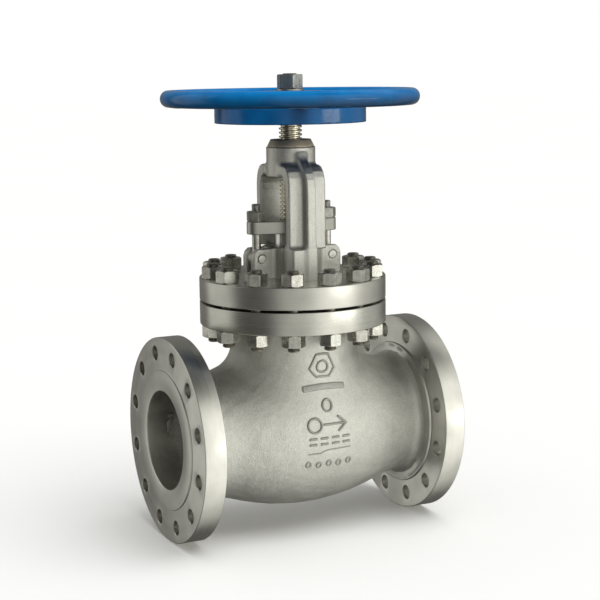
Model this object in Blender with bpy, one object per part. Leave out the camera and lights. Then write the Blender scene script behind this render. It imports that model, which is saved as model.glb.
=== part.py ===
"""Flanged outside-screw-and-yoke globe valve, 6 inch pipe size.

Metres, +Z up along the stem, +X along the pipe towards the outlet.
The origin is where the stem axis crosses the pipe axis. The disc is seated.
"""
import math

import bmesh
import bpy

MM = 0.001

# End flanges and the pipe run
FACE_TO_FACE = 444.5 * MM
END_FLANGE_R = 158.75 * MM
END_FLANGE_T = 36.5 * MM
RAISED_FACE_R = 108.0 * MM
RAISED_FACE_H = 2.0 * MM
PIPE_BORE_R = 76.2 * MM
PIPE_BOLTS = 12
PIPE_BOLT_CIRCLE_R = 134.95 * MM
PIPE_HOLE_R = 11.1 * MM
FLANGE_HUB_R = 114.0 * MM

# Body barrel, neck and the two bonnet flanges
BARREL_R = 124.5 * MM
BARREL_CURVE = 350.0 * MM
BARREL_WALL = 13.0 * MM
NECK_R = 100.0 * MM
NECK_BORE_R = 85.0 * MM
BONNET_FLANGE_R = 146.5 * MM
BODY_FLANGE_Z = (167.5 * MM, 203.0 * MM)
BONNET_FLANGE_Z = (206.0 * MM, 240.5 * MM)
BONNET_STUDS = 14
STUD_CIRCLE_R = 127.0 * MM
STUD_R = 9.5 * MM
STUD_HOLE_R = 10.4 * MM
STUD_Z = (141.0 * MM, 264.0 * MM)
HEAVY_NUT_AF = 31.75 * MM
HEAVY_NUT_H = 18.65 * MM
# How far each nut turned before it came up tight, in degrees
UPPER_NUT_TURN = (36, 10, 50, 25, 18, 40, 56, 52, 26, 58, 28, 36, 2, 20)
LOWER_NUT_TURN = (15, 45, 5, 30, 50, 20, 37, 29, 3, 40, 6, 52, 2, 33)

# Seat, disc and stem
SEAT_BORE_R = 73.0 * MM
SEAT_R = 80.0 * MM
DISC_R = 80.0 * MM
STEM_R = 18.0 * MM
STEM_BORE_R = 18.3 * MM
STEM_TOP_Z = 554.0 * MM
BACKSEAT_Z = (177.5 * MM, 200.0 * MM)

# Stuffing box, gland and eyebolts
BOX_BORE_R = 28.0 * MM
BOX_Z = (220.0 * MM, 287.5 * MM)
BOSS_R = 45.0 * MM
PACKING_RINGS = 5
PACKING_H = 9.0 * MM
FOLLOWER_R = 27.2 * MM
GLAND_Z = (308.6 * MM, 328.2 * MM)
GLAND_BOLT_X = 61.0 * MM
GLAND_END_R = 15.0 * MM
GLAND_MID_R = 34.0 * MM
EYE_PIN_Z = 271.0 * MM
EYE_PIN_R = 6.25 * MM
EYE_R = 13.0 * MM
EYEBOLT_R = 7.14 * MM
EYEBOLT_TOP_Z = 355.0 * MM
GLAND_NUT_AF = 27.0 * MM
GLAND_NUT_H = 15.5 * MM
EAR_Y = (8.5 * MM, 20.5 * MM)
EAR_END_X = 75.5 * MM

# Yoke
ARM_Y = (42.0 * MM, 56.5 * MM)
ARM_HALF_W = 32.0 * MM
RIB_Y = 71.0 * MM
RIB_HALF_W = 7.5 * MM
SHOULDER_Z = 415.0 * MM
HUB_R = 37.25 * MM
HUB_Z = (397.0 * MM, 441.7 * MM)
FOOT_TOP_Z = 288.0 * MM
BUSHING_TOP_Z = 453.0 * MM

# Handwheel
WHEEL_R = 200.5 * MM
RIM_HALF_W = 12.0 * MM
RIM_HALF_H = 12.8 * MM
RIM_Z = 517.3 * MM
DRUM_R = 117.5 * MM
DRUM_Z = 479.0 * MM
WEB_TOP_Z = 506.0 * MM
WHEEL_HUB_R = 36.0 * MM
WHEEL_TOP_R = 75.0 * MM
WHEEL_TOP_Z = 525.0 * MM
WHEEL_BORE_R = 15.3 * MM
SPOKES = 5
WHEEL_NUT_AF = 36.0 * MM

GAP = 0.3 * MM


def material(name, colour, metallic, roughness):
    mat = bpy.data.materials.new(name)
    mat.use_nodes = True
    bsdf = mat.node_tree.nodes["Principled BSDF"]
    bsdf.inputs["Base Color"].default_value = (*colour, 1.0)
    bsdf.inputs["Metallic"].default_value = metallic
    bsdf.inputs["Roughness"].default_value = roughness
    return mat


def add_object(name, bm, mat=None, location=(0.0, 0.0, 0.0)):
    """Make a scene object of a bmesh, with its faces pointing out."""
    bmesh.ops.remove_doubles(bm, verts=bm.verts, dist=1e-6)
    bmesh.ops.recalc_face_normals(bm, faces=bm.faces)
    mesh = bpy.data.meshes.new(name)
    bm.to_mesh(mesh)
    bm.free()
    mesh.shade_smooth()
    mesh.set_sharp_from_angle(angle=math.radians(30))
    ob = bpy.data.objects.new(name, mesh)
    ob.location = location
    bpy.context.scene.collection.objects.link(ob)
    if mat is not None:
        mesh.materials.append(mat)
    return ob


def turned(name, outline, segments, mat=None, axis="Z", location=(0.0, 0.0, 0.0)):
    """Turn a closed (radius, height) outline in millimetres about an axis."""
    bm = bmesh.new()
    verts = [bm.verts.new((r * MM, 0.0, h * MM)) for r, h in outline]
    edges = []
    for a, b in zip(verts, verts[1:] + verts[:1]):
        if a.co.x > 1e-7 or b.co.x > 1e-7:
            edges.append(bm.edges.new((a, b)))
    bmesh.ops.spin(bm, geom=verts + edges, cent=(0, 0, 0), axis=(0, 0, 1),
                   angle=math.tau, steps=segments, use_merge=True)
    if axis == "X":
        for v in bm.verts:
            v.co = (v.co.z, v.co.y, -v.co.x)
    elif axis == "Y":
        for v in bm.verts:
            v.co = (v.co.x, v.co.z, -v.co.y)
    return add_object(name, bm, mat, location)


def prism(name, outline, low, high, mat=None, axis="Z"):
    """Extrude a closed outline in metres along an axis, from low to high.

    The outline's two numbers are (x, y) along Z, (x, z) along Y, (y, z) along X.
    """
    place = {"Z": lambda u, v, w: (u, v, w),
             "Y": lambda u, v, w: (u, w, v),
             "X": lambda u, v, w: (w, u, v)}[axis]
    bm = bmesh.new()
    face = bm.faces.new([bm.verts.new(place(u, v, low)) for u, v in outline])
    top = bmesh.ops.extrude_face_region(bm, geom=[face])
    shift = place(0.0, 0.0, high - low)
    bmesh.ops.translate(bm, vec=shift, verts=[v for v in top["geom"]
                                              if isinstance(v, bmesh.types.BMVert)])
    return add_object(name, bm, mat)


def circle_points(radius, count, cx=0.0, cy=0.0, start=0.0):
    step = math.tau / count
    return [(cx + radius * math.cos(start + k * step), cy + radius * math.sin(start + k * step))
            for k in range(count)]


def hull(points):
    """Convex outline round a set of 2-D points, counter-clockwise."""
    points = sorted(set((round(x, 7), round(y, 7)) for x, y in points))
    halves = []
    for run in (points, points[::-1]):
        half = []
        for p in run:
            while len(half) > 1:
                (ax, ay), (bx, by) = half[-2], half[-1]
                if (bx - ax) * (p[1] - ay) - (by - ay) * (p[0] - ax) > 1e-12:
                    break
                half.pop()
            half.append(p)
        halves.append(half[:-1])
    return halves[0] + halves[1]


def rods(name, centres, radius, low, high, segments, axis="Z"):
    """Several parallel round rods in one mesh, for drilling a ring of holes."""
    bm = bmesh.new()
    for u, v in centres:
        rings = []
        for w in (low, high):
            ring = []
            for x, y in circle_points(radius, segments, u, v, math.pi / segments):
                ring.append(bm.verts.new((w, x, y) if axis == "X" else (x, y, w)))
            rings.append(ring)
        bm.faces.new(rings[0])
        bm.faces.new(rings[1])
        for k in range(segments):
            j = (k + 1) % segments
            bm.faces.new((rings[0][k], rings[0][j], rings[1][j], rings[1][k]))
    return add_object(name, bm)


def stacked(name, loops, mat=None, hollow=False, location=(0.0, 0.0, 0.0)):
    """Bridge a stack of equal-count (outline, z) loops into one closed body."""
    bm = bmesh.new()
    rings = [[bm.verts.new((x, y, z)) for x, y in outline] for outline, z in loops]
    pairs = list(zip(rings, rings[1:]))
    if hollow:
        pairs.append((rings[-1], rings[0]))
    else:
        bm.faces.new(rings[0])
        bm.faces.new(rings[-1])
    count = len(rings[0])
    for low, high in pairs:
        for k in range(count):
            j = (k + 1) % count
            bm.faces.new((low[k], low[j], high[j], high[k]))
    return add_object(name, bm, mat, location)


def hexagon(across_flats, turn_deg):
    """Twelve points round a hexagon: its corners and the middles of its flats."""
    corner_r = across_flats / math.sqrt(3.0)
    points = []
    for k in range(12):
        radius = corner_r if k % 2 == 0 else across_flats / 2
        angle = math.radians(turn_deg + 30 * k)
        points.append((radius * math.cos(angle), radius * math.sin(angle)))
    return points


def hex_nut(name, across_flats, height, bore_r, turn_deg, location, mat):
    """A nut with its origin on its axis, at its lower face."""
    outer = hexagon(across_flats, turn_deg)
    inner = circle_points(bore_r, 12, start=math.radians(turn_deg))
    loops = [(outer, 0.0), (outer, height), (inner, height), (inner, 0.0)]
    return stacked(name, loops, mat, hollow=True, location=location)


def combine(target, tool, operation):
    mod = target.modifiers.new(tool.name, "BOOLEAN")
    mod.operation = operation
    mod.object = tool
    mod.solver = "EXACT"
    tool.hide_render = True
    tool.display_type = "WIRE"
    return target


def barrel_radius(x):
    return BARREL_R - x * x / (2 * BARREL_CURVE)


def barrel_cavity(name, extra=0.0):
    """The space inside the barrel: the pipe bore, swelling round the seat."""
    half = FACE_TO_FACE / 2 / MM + 2
    outline = [(0.0, half), (PIPE_BORE_R / MM + extra, half), (PIPE_BORE_R / MM + extra, 160.0)]
    for x in (132, 96, 60, 22, -22, -60, -96, -132):
        outline.append(((barrel_radius(x * MM) - BARREL_WALL) / MM + extra, x))
    outline += [(PIPE_BORE_R / MM + extra, -160.0), (PIPE_BORE_R / MM + extra, -half), (0.0, -half)]
    return turned(name, outline, 28, axis="X")


def make_body(mat):
    """Cast body: barrel, neck, three flanges and the partition that holds the seat."""
    face = FACE_TO_FACE / 2 / MM
    back = face - END_FLANGE_T / MM
    end = [(0.0, face), (RAISED_FACE_R / MM, face), (RAISED_FACE_R / MM, face - RAISED_FACE_H / MM),
           (END_FLANGE_R / MM, face - RAISED_FACE_H / MM), (END_FLANGE_R / MM, back),
           (FLANGE_HUB_R / MM, back), (FLANGE_HUB_R / MM, back - 4.5),
           (98.0, 170.0), (94.5, 152.0)]
    middle = [(barrel_radius(x * MM) / MM, x) for x in (132, 100, 66, 33, 0)]
    half = end + middle
    outline = half + [(r, -x) for r, x in half[-2::-1]]
    body = turned("body", outline, 40, mat, axis="X")

    neck = turned("neck_solid", [(0.0, 20.0), (98.0, 20.0), (NECK_R / MM, 130.0),
                                 (NECK_R / MM, 158.0), (NECK_R / MM + 4, 167.5),
                                 (BONNET_FLANGE_R / MM, 167.5), (BONNET_FLANGE_R / MM, 203.0),
                                 (0.0, 203.0)], 36)
    combine(body, neck, "UNION")
    combine(body, barrel_cavity("barrel_cavity"), "DIFFERENCE")
    neck_bore = turned("neck_bore", [(0.0, 14.0), (NECK_BORE_R / MM, 14.0),
                                     (NECK_BORE_R / MM, 206.0), (0.0, 206.0)], 28)
    combine(body, neck_bore, "DIFFERENCE")

    wall = [(-116, 118), (-101, 118), (-93, 40), (-87, 10), (87, 10), (95, 2), (101, -40),
            (109, -118), (94, -118), (86, -40), (80, -9), (-93, -9), (-101, 0), (-107, 40)]
    partition = prism("partition", [(x * MM, z * MM) for x, z in wall],
                      -0.118, 0.118, axis="Y")
    combine(partition, barrel_cavity("partition_limit", extra=4.0), "INTERSECT")
    port = turned("seat_port", [(0.0, -20.0), (80.3, -20.0), (80.3, 20.0), (0.0, 20.0)], 28)
    combine(partition, port, "DIFFERENCE")
    combine(body, partition, "UNION")

    holes = circle_points(PIPE_BOLT_CIRCLE_R, PIPE_BOLTS, start=math.pi / PIPE_BOLTS)
    for side in (-1, 1):
        low, high = sorted((side * (back - 8) * MM, side * (face + 8) * MM))
        combine(body, rods(f"pipe_holes_{'in' if side < 0 else 'out'}", holes, PIPE_HOLE_R,
                           low, high, 8, axis="X"), "DIFFERENCE")
    combine(body, rods("body_stud_holes", stud_centres(), STUD_HOLE_R, 0.150, 0.215, 8),
            "DIFFERENCE")
    return body


def stud_centres():
    return circle_points(STUD_CIRCLE_R, BONNET_STUDS, start=math.pi / BONNET_STUDS)


def make_bonnet(mat):
    """Cast bonnet: flange, stuffing box, eyebolt ears, and a two-armed yoke."""
    outline = [(28.3, 178.0), (40.0, 178.0), (48.0, 190.0), (84.1, 190.0), (84.1, 206.0),
               (146.5, 206.0), (146.5, 240.5), (58.0, 240.5), (49.0, 246.0), (45.0, 256.0),
               (45.0, 287.5), (28.0, 287.5), (28.0, 220.0), (18.7, 217.0), (18.7, 200.3),
               (28.3, 200.3)]
    bonnet = turned("bonnet", outline, 36, mat)

    for side in (-1, 1):
        tag = "front" if side < 0 else "rear"
        wing = [(42, 236), (42, 372), (39, 390), (33, 399), (24, 399), (24, 415), (37.0, 415),
                (46, 412.5), (53, 405), (56.5, 393), (56.5, 236)]
        rib = [(50, 236), (50, 402), (57, 408), (65, 400), (69, 391), (71, 380), (71, 236)]
        foot = sorted((-side * (RIB_HALF_W - 0.2 * MM), side * (ARM_HALF_W - 0.3 * MM)))
        combine(bonnet, prism(f"yoke_wing_{tag}", [(side * y * MM, z * MM) for y, z in wing],
                              -ARM_HALF_W, ARM_HALF_W, axis="X"), "UNION")
        combine(bonnet, prism(f"yoke_rib_{tag}", [(side * y * MM, z * MM) for y, z in rib],
                              -RIB_HALF_W, RIB_HALF_W, axis="X"), "UNION")
        block = [(30.5, 235), (70.7, 235), (70.7, 288), (30.5, 288)]
        combine(bonnet, prism(f"yoke_foot_{tag}", [(side * y * MM, z * MM) for y, z in block],
                              foot[0], foot[1], axis="X"), "UNION")
    for side in (-1, 1):
        tag = "front" if side < 0 else "rear"
        low, high = sorted((-side * (RIB_HALF_W + 0.2 * MM), -side * 40 * MM))
        relief = [(41, 243), (60, 243), (60, 286), (41, 286)]
        combine(bonnet, prism(f"foot_relief_{tag}", [(side * y * MM, z * MM) for y, z in relief],
                              low, high, axis="X"), "DIFFERENCE")

    hub = turned("yoke_hub", [(0.0, 397.0), (HUB_R / MM, 397.0), (HUB_R / MM, 441.7),
                              (0.0, 441.7)], 40)
    combine(bonnet, hub, "UNION")
    combine(bonnet, turned("hub_bore", [(0.0, 380.0), (26.3, 380.0), (26.3, 450.0),
                                        (0.0, 450.0)], 32), "DIFFERENCE")

    ear = [(34, 237), (73, 237), (75.5, 250), (75.5, 276), (72.5, 283), (66, 286.5), (34, 286.5)]
    for x_side in (-1, 1):
        for y_side in (-1, 1):
            low, high = sorted((y_side * EAR_Y[0], y_side * EAR_Y[1]))
            tag = f"{'left' if x_side < 0 else 'right'}_{'front' if y_side < 0 else 'rear'}"
            combine(bonnet, prism(f"ear_{tag}", [(x_side * x * MM, z * MM) for x, z in ear],
                                  low, high, axis="Y"), "UNION")
        pin_hole = turned(f"ear_hole_{x_side}", [(0.0, -30.0), (6.55, -30.0), (6.55, 30.0),
                                                 (0.0, 30.0)], 16, axis="Y",
                          location=(x_side * GLAND_BOLT_X, 0.0, EYE_PIN_Z))
        combine(bonnet, pin_hole, "DIFFERENCE")
    combine(bonnet, rods("bonnet_stud_holes", stud_centres(), STUD_HOLE_R, 0.195, 0.245, 8),
            "DIFFERENCE")
    return bonnet


def make_eyebolt(name, side, mat):
    """Eyebolt standing on its pin, with its origin on the pin's axis."""
    at = (side * GLAND_BOLT_X, 0.0, EYE_PIN_Z)
    shank_top = (EYEBOLT_TOP_Z - EYE_PIN_Z) / MM
    bolt = turned(name, [(0.0, 8.0), (EYEBOLT_R / MM, 8.0), (EYEBOLT_R / MM, shank_top - 2),
                         (EYEBOLT_R / MM - 2, shank_top), (0.0, shank_top)], 16, mat, location=at)
    eye = turned(f"{name}_eye", [(0.0, -8.0), (EYE_R / MM, -8.0), (EYE_R / MM, 8.0), (0.0, 8.0)],
                 20, axis="Y", location=at)
    combine(bolt, eye, "UNION")
    combine(bolt, turned(f"{name}_hole", [(0.0, -12.0), (6.55, -12.0), (6.55, 12.0), (0.0, 12.0)],
                         16, axis="Y", location=at), "DIFFERENCE")
    return bolt


def make_stem(mat):
    """Rising stem: head in the disc, backseat collar, thread, wheel seat, top stud."""
    outline = [(0.0, 36.4), (23.0, 36.4), (25.0, 38.4), (25.0, 52.2), (17.9, 52.2),
               (17.9, 118.0), (24.0, 122.0), (24.0, 128.0), (18.0, 132.7),
               (18.0, 479.0), (15.0, 479.0), (15.0, 521.0), (12.0, 521.0),
               (12.0, 551.5), (9.5, 554.0), (0.0, 554.0)]
    stem = turned("stem", outline, 32, mat)
    keyway = prism("stem_keyway", [(11 * MM, -4.2 * MM), (22 * MM, -4.2 * MM),
                                   (22 * MM, 4.2 * MM), (11 * MM, 4.2 * MM)],
                   0.484, 0.516)
    return combine(stem, keyway, "DIFFERENCE")


def make_handwheel(mat):
    """Dished handwheel: rim, spokes, pan with a deep skirt, and a bored hub."""
    pan = [(15.3, 479.3), (36.0, 479.3), (36.0, 514.0), (66.0, 514.0), (72.0, 498.0),
           (109.5, 498.0), (109.5, 479.0), (117.5, 479.0), (117.5, 503.0), (114.0, 506.0),
           (81.0, 506.0), (75.0, 522.0), (72.0, 525.0), (15.3, 525.0)]
    wheel = turned("handwheel", pan, 40, mat)
    rim_mid = (WHEEL_R - RIM_HALF_W) / MM
    rim = []
    for k in range(10):
        angle = -math.tau * k / 10
        rim.append((rim_mid + RIM_HALF_W / MM * math.cos(angle),
                    RIM_Z / MM + RIM_HALF_H / MM * math.sin(angle)))
    spoke = [(-0.014, 0.073), (0.014, 0.073), (0.011, 0.183), (-0.011, 0.183)]
    for k in range(SPOKES):
        turn = math.radians(90 + 360 / SPOKES * k)
        outline = [(u * math.cos(turn) - v * math.sin(turn), u * math.sin(turn) + v * math.cos(turn))
                   for u, v in spoke]
        combine(wheel, prism(f"wheel_spoke_{k + 1}", outline, 0.5035, 0.5175), "UNION")
    combine(wheel, turned("wheel_rim", rim, 48), "UNION")
    keyway = prism("wheel_keyway", [(10 * MM, -4.2 * MM), (19 * MM, -4.2 * MM),
                                    (19 * MM, 4.2 * MM), (10 * MM, 4.2 * MM)], 0.475, 0.518)
    return combine(wheel, keyway, "DIFFERENCE")


def build():
    for ob in list(bpy.data.objects):
        bpy.data.objects.remove(ob, do_unlink=True)

    cast = material("cast_steel", (0.40, 0.39, 0.36), 0.9, 0.48)
    cast_yoke = material("cast_yoke", (0.42, 0.41, 0.38), 0.9, 0.48)
    fastener = material("fastener_steel", (0.33, 0.32, 0.30), 1.0, 0.32)
    stem_steel = material("stem_steel", (0.55, 0.52, 0.44), 1.0, 0.25)
    bright = material("bright_steel", (0.70, 0.69, 0.66), 1.0, 0.22)
    seat_face = material("seat_alloy", (0.62, 0.61, 0.60), 1.0, 0.20)
    bronze = material("bushing_bronze", (0.28, 0.22, 0.14), 1.0, 0.38)
    graphite = material("graphite", (0.03, 0.03, 0.03), 0.2, 0.60)
    gasket_grey = material("gasket_grey", (0.06, 0.06, 0.06), 0.3, 0.60)
    paint = material("blue_paint", (0.01, 0.13, 0.42), 0.0, 0.25)

    make_body(cast)
    turned("seat_ring", [(73.0, -9.3), (80.0, -9.3), (80.0, 10.3), (84.0, 10.3), (84.0, 16.0),
                         (78.0, 16.0), (73.0, 11.0)], 28, seat_face)
    turned("disc", [(0.0, 9.0), (70.0, 9.0), (80.0, 19.0), (80.0, 30.0), (60.0, 34.0),
                    (38.0, 42.0), (36.0, 48.0), (36.0, 72.0), (28.3, 72.0), (28.3, 36.0),
                    (0.0, 36.0)], 28, seat_face)
    turned("disc_nut", [(18.4, 52.6), (28.0, 52.6), (28.0, 72.3), (34.0, 72.3), (34.0, 82.0),
                        (31.0, 84.0), (18.4, 84.0)], 24, stem_steel)
    make_stem(stem_steel)
    turned("bonnet_gasket", [(92.0, 203.3), (110.0, 203.3), (110.0, 205.7), (92.0, 205.7)],
           32, gasket_grey)
    make_bonnet(cast_yoke)
    turned("backseat_bushing", [(20.5, 177.5), (28.0, 177.5), (28.0, 200.0), (18.4, 200.0),
                                (18.4, 179.6)], 32, seat_face)
    for k in range(PACKING_RINGS):
        low = 221.3 + k * 9.3
        turned(f"packing_ring_{k + 1}", [(18.3, low), (27.6, low), (27.6, low + 9.0),
                                         (18.3, low + 9.0)], 20, graphite)
    turned("gland_follower", [(18.4, 268.0), (27.2, 268.0), (27.2, 308.3), (18.4, 308.3)],
           32, bright)

    spots = []
    for x in (-GLAND_BOLT_X, GLAND_BOLT_X):
        spots += circle_points(GLAND_END_R, 24, x)
    spots += circle_points(GLAND_MID_R, 36)
    gland = prism("gland_flange", hull(spots), GLAND_Z[0], GLAND_Z[1], cast_yoke)
    bolt_axes = [(-GLAND_BOLT_X, 0.0), (GLAND_BOLT_X, 0.0)]
    combine(gland, rods("gland_bolt_holes", bolt_axes, 8.2 * MM, 0.30, 0.34, 16), "DIFFERENCE")
    combine(gland, rods("gland_stem_hole", [(0.0, 0.0)], 19.0 * MM, 0.30, 0.34, 32),
            "DIFFERENCE")

    for side, tag, turn in ((-1, "left", 17), (1, "right", 45)):
        make_eyebolt(f"eyebolt_{tag}", side, fastener)
        turned(f"eyebolt_pin_{tag}", [(0.0, -20.8), (6.25, -20.8), (6.25, 20.8), (0.0, 20.8)],
               16, bright, axis="Y", location=(side * GLAND_BOLT_X, 0.0, EYE_PIN_Z))
        hex_nut(f"gland_nut_{tag}", GLAND_NUT_AF, GLAND_NUT_H, 7.45 * MM, turn,
                (side * GLAND_BOLT_X, 0.0, GLAND_Z[1] + GAP), fastener)

    turned("yoke_bushing", [(18.4, 397.0), (26.0, 397.0), (26.0, 442.0), (36.4, 442.0),
                            (36.4, 445.5), (32.0, 453.0), (18.4, 453.0)], 32, bronze)

    make_handwheel(paint)
    prism("handwheel_key", [(11.3 * MM, -4 * MM), (18.7 * MM, -4 * MM), (18.7 * MM, 4 * MM),
                            (11.3 * MM, 4 * MM)], 0.4845, 0.5155, fastener)
    turned("wheel_disc", [(16.0, 525.3), (56.5, 525.3), (56.5, 527.0), (16.0, 527.0)],
           40, bright)
    turned("wheel_washer", [(12.6, 527.3), (21.5, 527.3), (21.5, 530.3), (12.6, 530.3)],
           24, fastener)
    hex_nut("wheel_nut", WHEEL_NUT_AF, 22.0 * MM, 12.6 * MM, 18, (0.0, 0.0, 0.5306), fastener)

    for k, (x, y) in enumerate(stud_centres()):
        round_loop = circle_points(STUD_R, 12, start=math.radians(LOWER_NUT_TURN[k]))
        nut_loop = hexagon(HEAVY_NUT_AF, LOWER_NUT_TURN[k])
        nut_top = BODY_FLANGE_Z[0] - GAP
        nut_low = nut_top - HEAVY_NUT_H
        loops = [(round_loop, STUD_Z[0]), (round_loop, nut_low), (nut_loop, nut_low),
                 (nut_loop, nut_top), (round_loop, nut_top), (round_loop, STUD_Z[1])]
        stacked(f"bonnet_stud_{k + 1:02d}", loops, fastener, location=(x, y, 0.0))
        hex_nut(f"bonnet_nut_{k + 1:02d}", HEAVY_NUT_AF, HEAVY_NUT_H, 10.0 * MM,
                UPPER_NUT_TURN[k], (x, y, BONNET_FLANGE_Z[1] + GAP), fastener)


build()
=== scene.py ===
"""Looks of a flanged globe valve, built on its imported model.

Lengths in this file are millimetres until a mesh is made. +Z runs up the stem, +X along the
pipe, and the origin is where the stem axis crosses the pipe axis.
"""
import math

import bpy
import numpy as np
from mathutils import Matrix, Vector


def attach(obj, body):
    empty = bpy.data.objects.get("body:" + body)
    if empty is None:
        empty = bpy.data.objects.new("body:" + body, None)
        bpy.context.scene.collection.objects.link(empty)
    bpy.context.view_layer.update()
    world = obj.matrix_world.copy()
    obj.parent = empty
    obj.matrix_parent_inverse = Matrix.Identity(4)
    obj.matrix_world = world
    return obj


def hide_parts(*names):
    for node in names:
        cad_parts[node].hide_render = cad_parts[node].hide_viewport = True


MM = 0.001
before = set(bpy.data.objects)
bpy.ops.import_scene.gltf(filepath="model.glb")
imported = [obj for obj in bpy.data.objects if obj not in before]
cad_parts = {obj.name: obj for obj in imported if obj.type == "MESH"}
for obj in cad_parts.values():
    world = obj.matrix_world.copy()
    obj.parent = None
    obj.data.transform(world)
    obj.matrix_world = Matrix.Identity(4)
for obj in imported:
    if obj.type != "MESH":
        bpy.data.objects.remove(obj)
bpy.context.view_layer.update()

# Pipe run
FACE_X = 222.25
FLANGE_BACK_X = 185.75
END_FLANGE_R = 158.75
RAISED_FACE_R = 108.0
PIPE_BORE_R = 76.2
PIPE_BOLTS = 12
PIPE_BOLT_R = 134.95
PIPE_HOLE_R = 11.1
FLANGE_HUB_R = 114.0
FLANGE_NECK_X = 182.0
# Body and bonnet
BARREL_R = 124.5
BARREL_CURVE = 350.0
BARREL_WALL = 13.0
TUBE_R = 94.0
NECK_R = 100.0
NECK_BORE_R = 85.0
BONNET_FLANGE_R = 146.5
STUD_CIRCLE_R = 127.0
STUDS = 14
STUD_HOLE_R = 10.4
HEAVY_NUT_AF = 31.75
HEAVY_NUT_H = 18.65
UPPER_NUT_TURN = (36, 10, 50, 25, 18, 40, 56, 52, 26, 58, 28, 36, 2, 20)
LOWER_NUT_TURN = (15, 45, 5, 30, 50, 20, 37, 29, 3, 40, 6, 52, 2, 33)
# Gland and yoke
GLAND_BOLT_X = 61.0
EYE_PIN_Z = 271.0
HUB_R = 38.2
# Handwheel
WHEEL_R = 200.5
RIM_HALF_W = 12.0
RIM_HALF_H = 12.8
RIM_Z = 517.3


# ---------------------------------------------------------------- mesh tools

# Steps round a softened corner, the angle above which an edge stays sharp, and a hole's sides
CORNER_STEPS = 4
SHARP_ANGLE = 35.0
HOLE_SIDES = 40


def add_mesh(name, points, faces, mat, body, nodes=(), sharp=SHARP_ANGLE):
    """A piece of the object from points in millimetres, riding on a CAD body."""
    mesh = bpy.data.meshes.new(name)
    mesh.from_pydata((np.asarray(points, float) * MM).tolist(), [], faces)
    mesh.update()
    ob = bpy.data.objects.new(name, mesh)
    bpy.context.scene.collection.objects.link(ob)
    mesh.shade_smooth()
    if sharp:
        mesh.set_sharp_from_angle(angle=math.radians(sharp))
    if mat is not None:
        mesh.materials.append(mat)
    if body is not None:
        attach(ob, body)
    if nodes:
        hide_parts(*nodes)
    return ob


def soften(outline, radius):
    """Round every corner of a closed outline, as far as its neighbours allow."""
    out = []
    count = len(outline)
    for k in range(count):
        before = np.array(outline[k - 1], float)
        here = np.array(outline[k][:2], float)
        after = np.array(outline[(k + 1) % count][:2], float)
        want = outline[k][2] if len(outline[k]) > 2 else radius
        before, after = before[:2], after[:2]
        a, b = before - here, after - here
        la, lb = np.linalg.norm(a), np.linalg.norm(b)
        if want <= 0 or la < 1e-6 or lb < 1e-6 or (here[0] < 1e-6):
            out.append(tuple(here))
            continue
        a, b = a / la, b / lb
        half = math.acos(max(-1.0, min(1.0, float(a @ b)))) / 2
        if half > math.radians(86):
            out.append(tuple(here))
            continue
        cut = min(want / math.tan(half), 0.45 * la, 0.45 * lb)
        reach = cut * math.tan(half)
        centre = here + (a + b) / np.linalg.norm(a + b) * math.hypot(cut, reach)
        p, q = here + a * cut - centre, here + b * cut - centre
        turn = math.atan2(p[0] * q[1] - p[1] * q[0], p @ q)
        for s in range(CORNER_STEPS + 1):
            t = turn * s / CORNER_STEPS
            c, d = math.cos(t), math.sin(t)
            out.append(tuple(centre + np.array([p[0] * c - p[1] * d, p[0] * d + p[1] * c])))
    return out


def swap_axis(points, axis):
    points = np.asarray(points, float)
    if axis == "X":
        return points[:, [2, 1, 0]] * np.array([1.0, 1.0, -1.0])
    if axis == "Y":
        return points[:, [0, 2, 1]] * np.array([1.0, 1.0, -1.0])
    return points


def turned_mesh(outline, segments, axis="Z"):
    """Points and faces of a closed (radius, height) outline turned about an axis."""
    outline = list(outline)
    area = sum(a[0] * b[1] - b[0] * a[1] for a, b in zip(outline, outline[1:] + outline[:1]))
    if area < 0:
        outline = outline[::-1]
    points = []
    rings = []
    for r, h in outline:
        if r < 1e-6:
            rings.append([len(points)] * segments)
            points.append((0.0, 0.0, h))
        else:
            rings.append(list(range(len(points), len(points) + segments)))
            for k in range(segments):
                t = math.tau * k / segments
                points.append((r * math.cos(t), r * math.sin(t), h))
    faces = []
    for low, high in zip(rings, rings[1:] + rings[:1]):
        for k in range(segments):
            j = (k + 1) % segments
            face = [low[k], low[j], high[j], high[k]]
            face = [v for n, v in enumerate(face) if v != face[n - 1]]
            if len(face) > 2:
                faces.append(face)
    return swap_axis(points, axis), faces


def turned(name, outline, segments, mat, body, nodes=(), axis="Z", at=(0, 0, 0), soft=0.0):
    if soft:
        outline = soften(outline, soft)
    points, faces = turned_mesh([p[:2] for p in outline], segments, axis)
    return add_mesh(name, points + np.array(at, float), faces, mat, body, nodes)


def cut(ob, tools):
    """Apply boolean tools to a piece and delete them."""
    for tool in tools:
        mod = ob.modifiers.new("cut", "BOOLEAN")
        mod.operation = "DIFFERENCE"
        mod.object = tool
        mod.solver = "EXACT"
    bpy.context.view_layer.update()
    done = bpy.data.meshes.new_from_object(ob.evaluated_get(bpy.context.evaluated_depsgraph_get()))
    ob.modifiers.clear()
    mats = list(ob.data.materials)
    ob.data = done
    done.materials.clear()
    for mat in mats:
        done.materials.append(mat)
    done.shade_smooth()
    done.set_sharp_from_angle(angle=math.radians(SHARP_ANGLE))
    for tool in tools:
        bpy.data.objects.remove(tool)
    return ob


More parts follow.
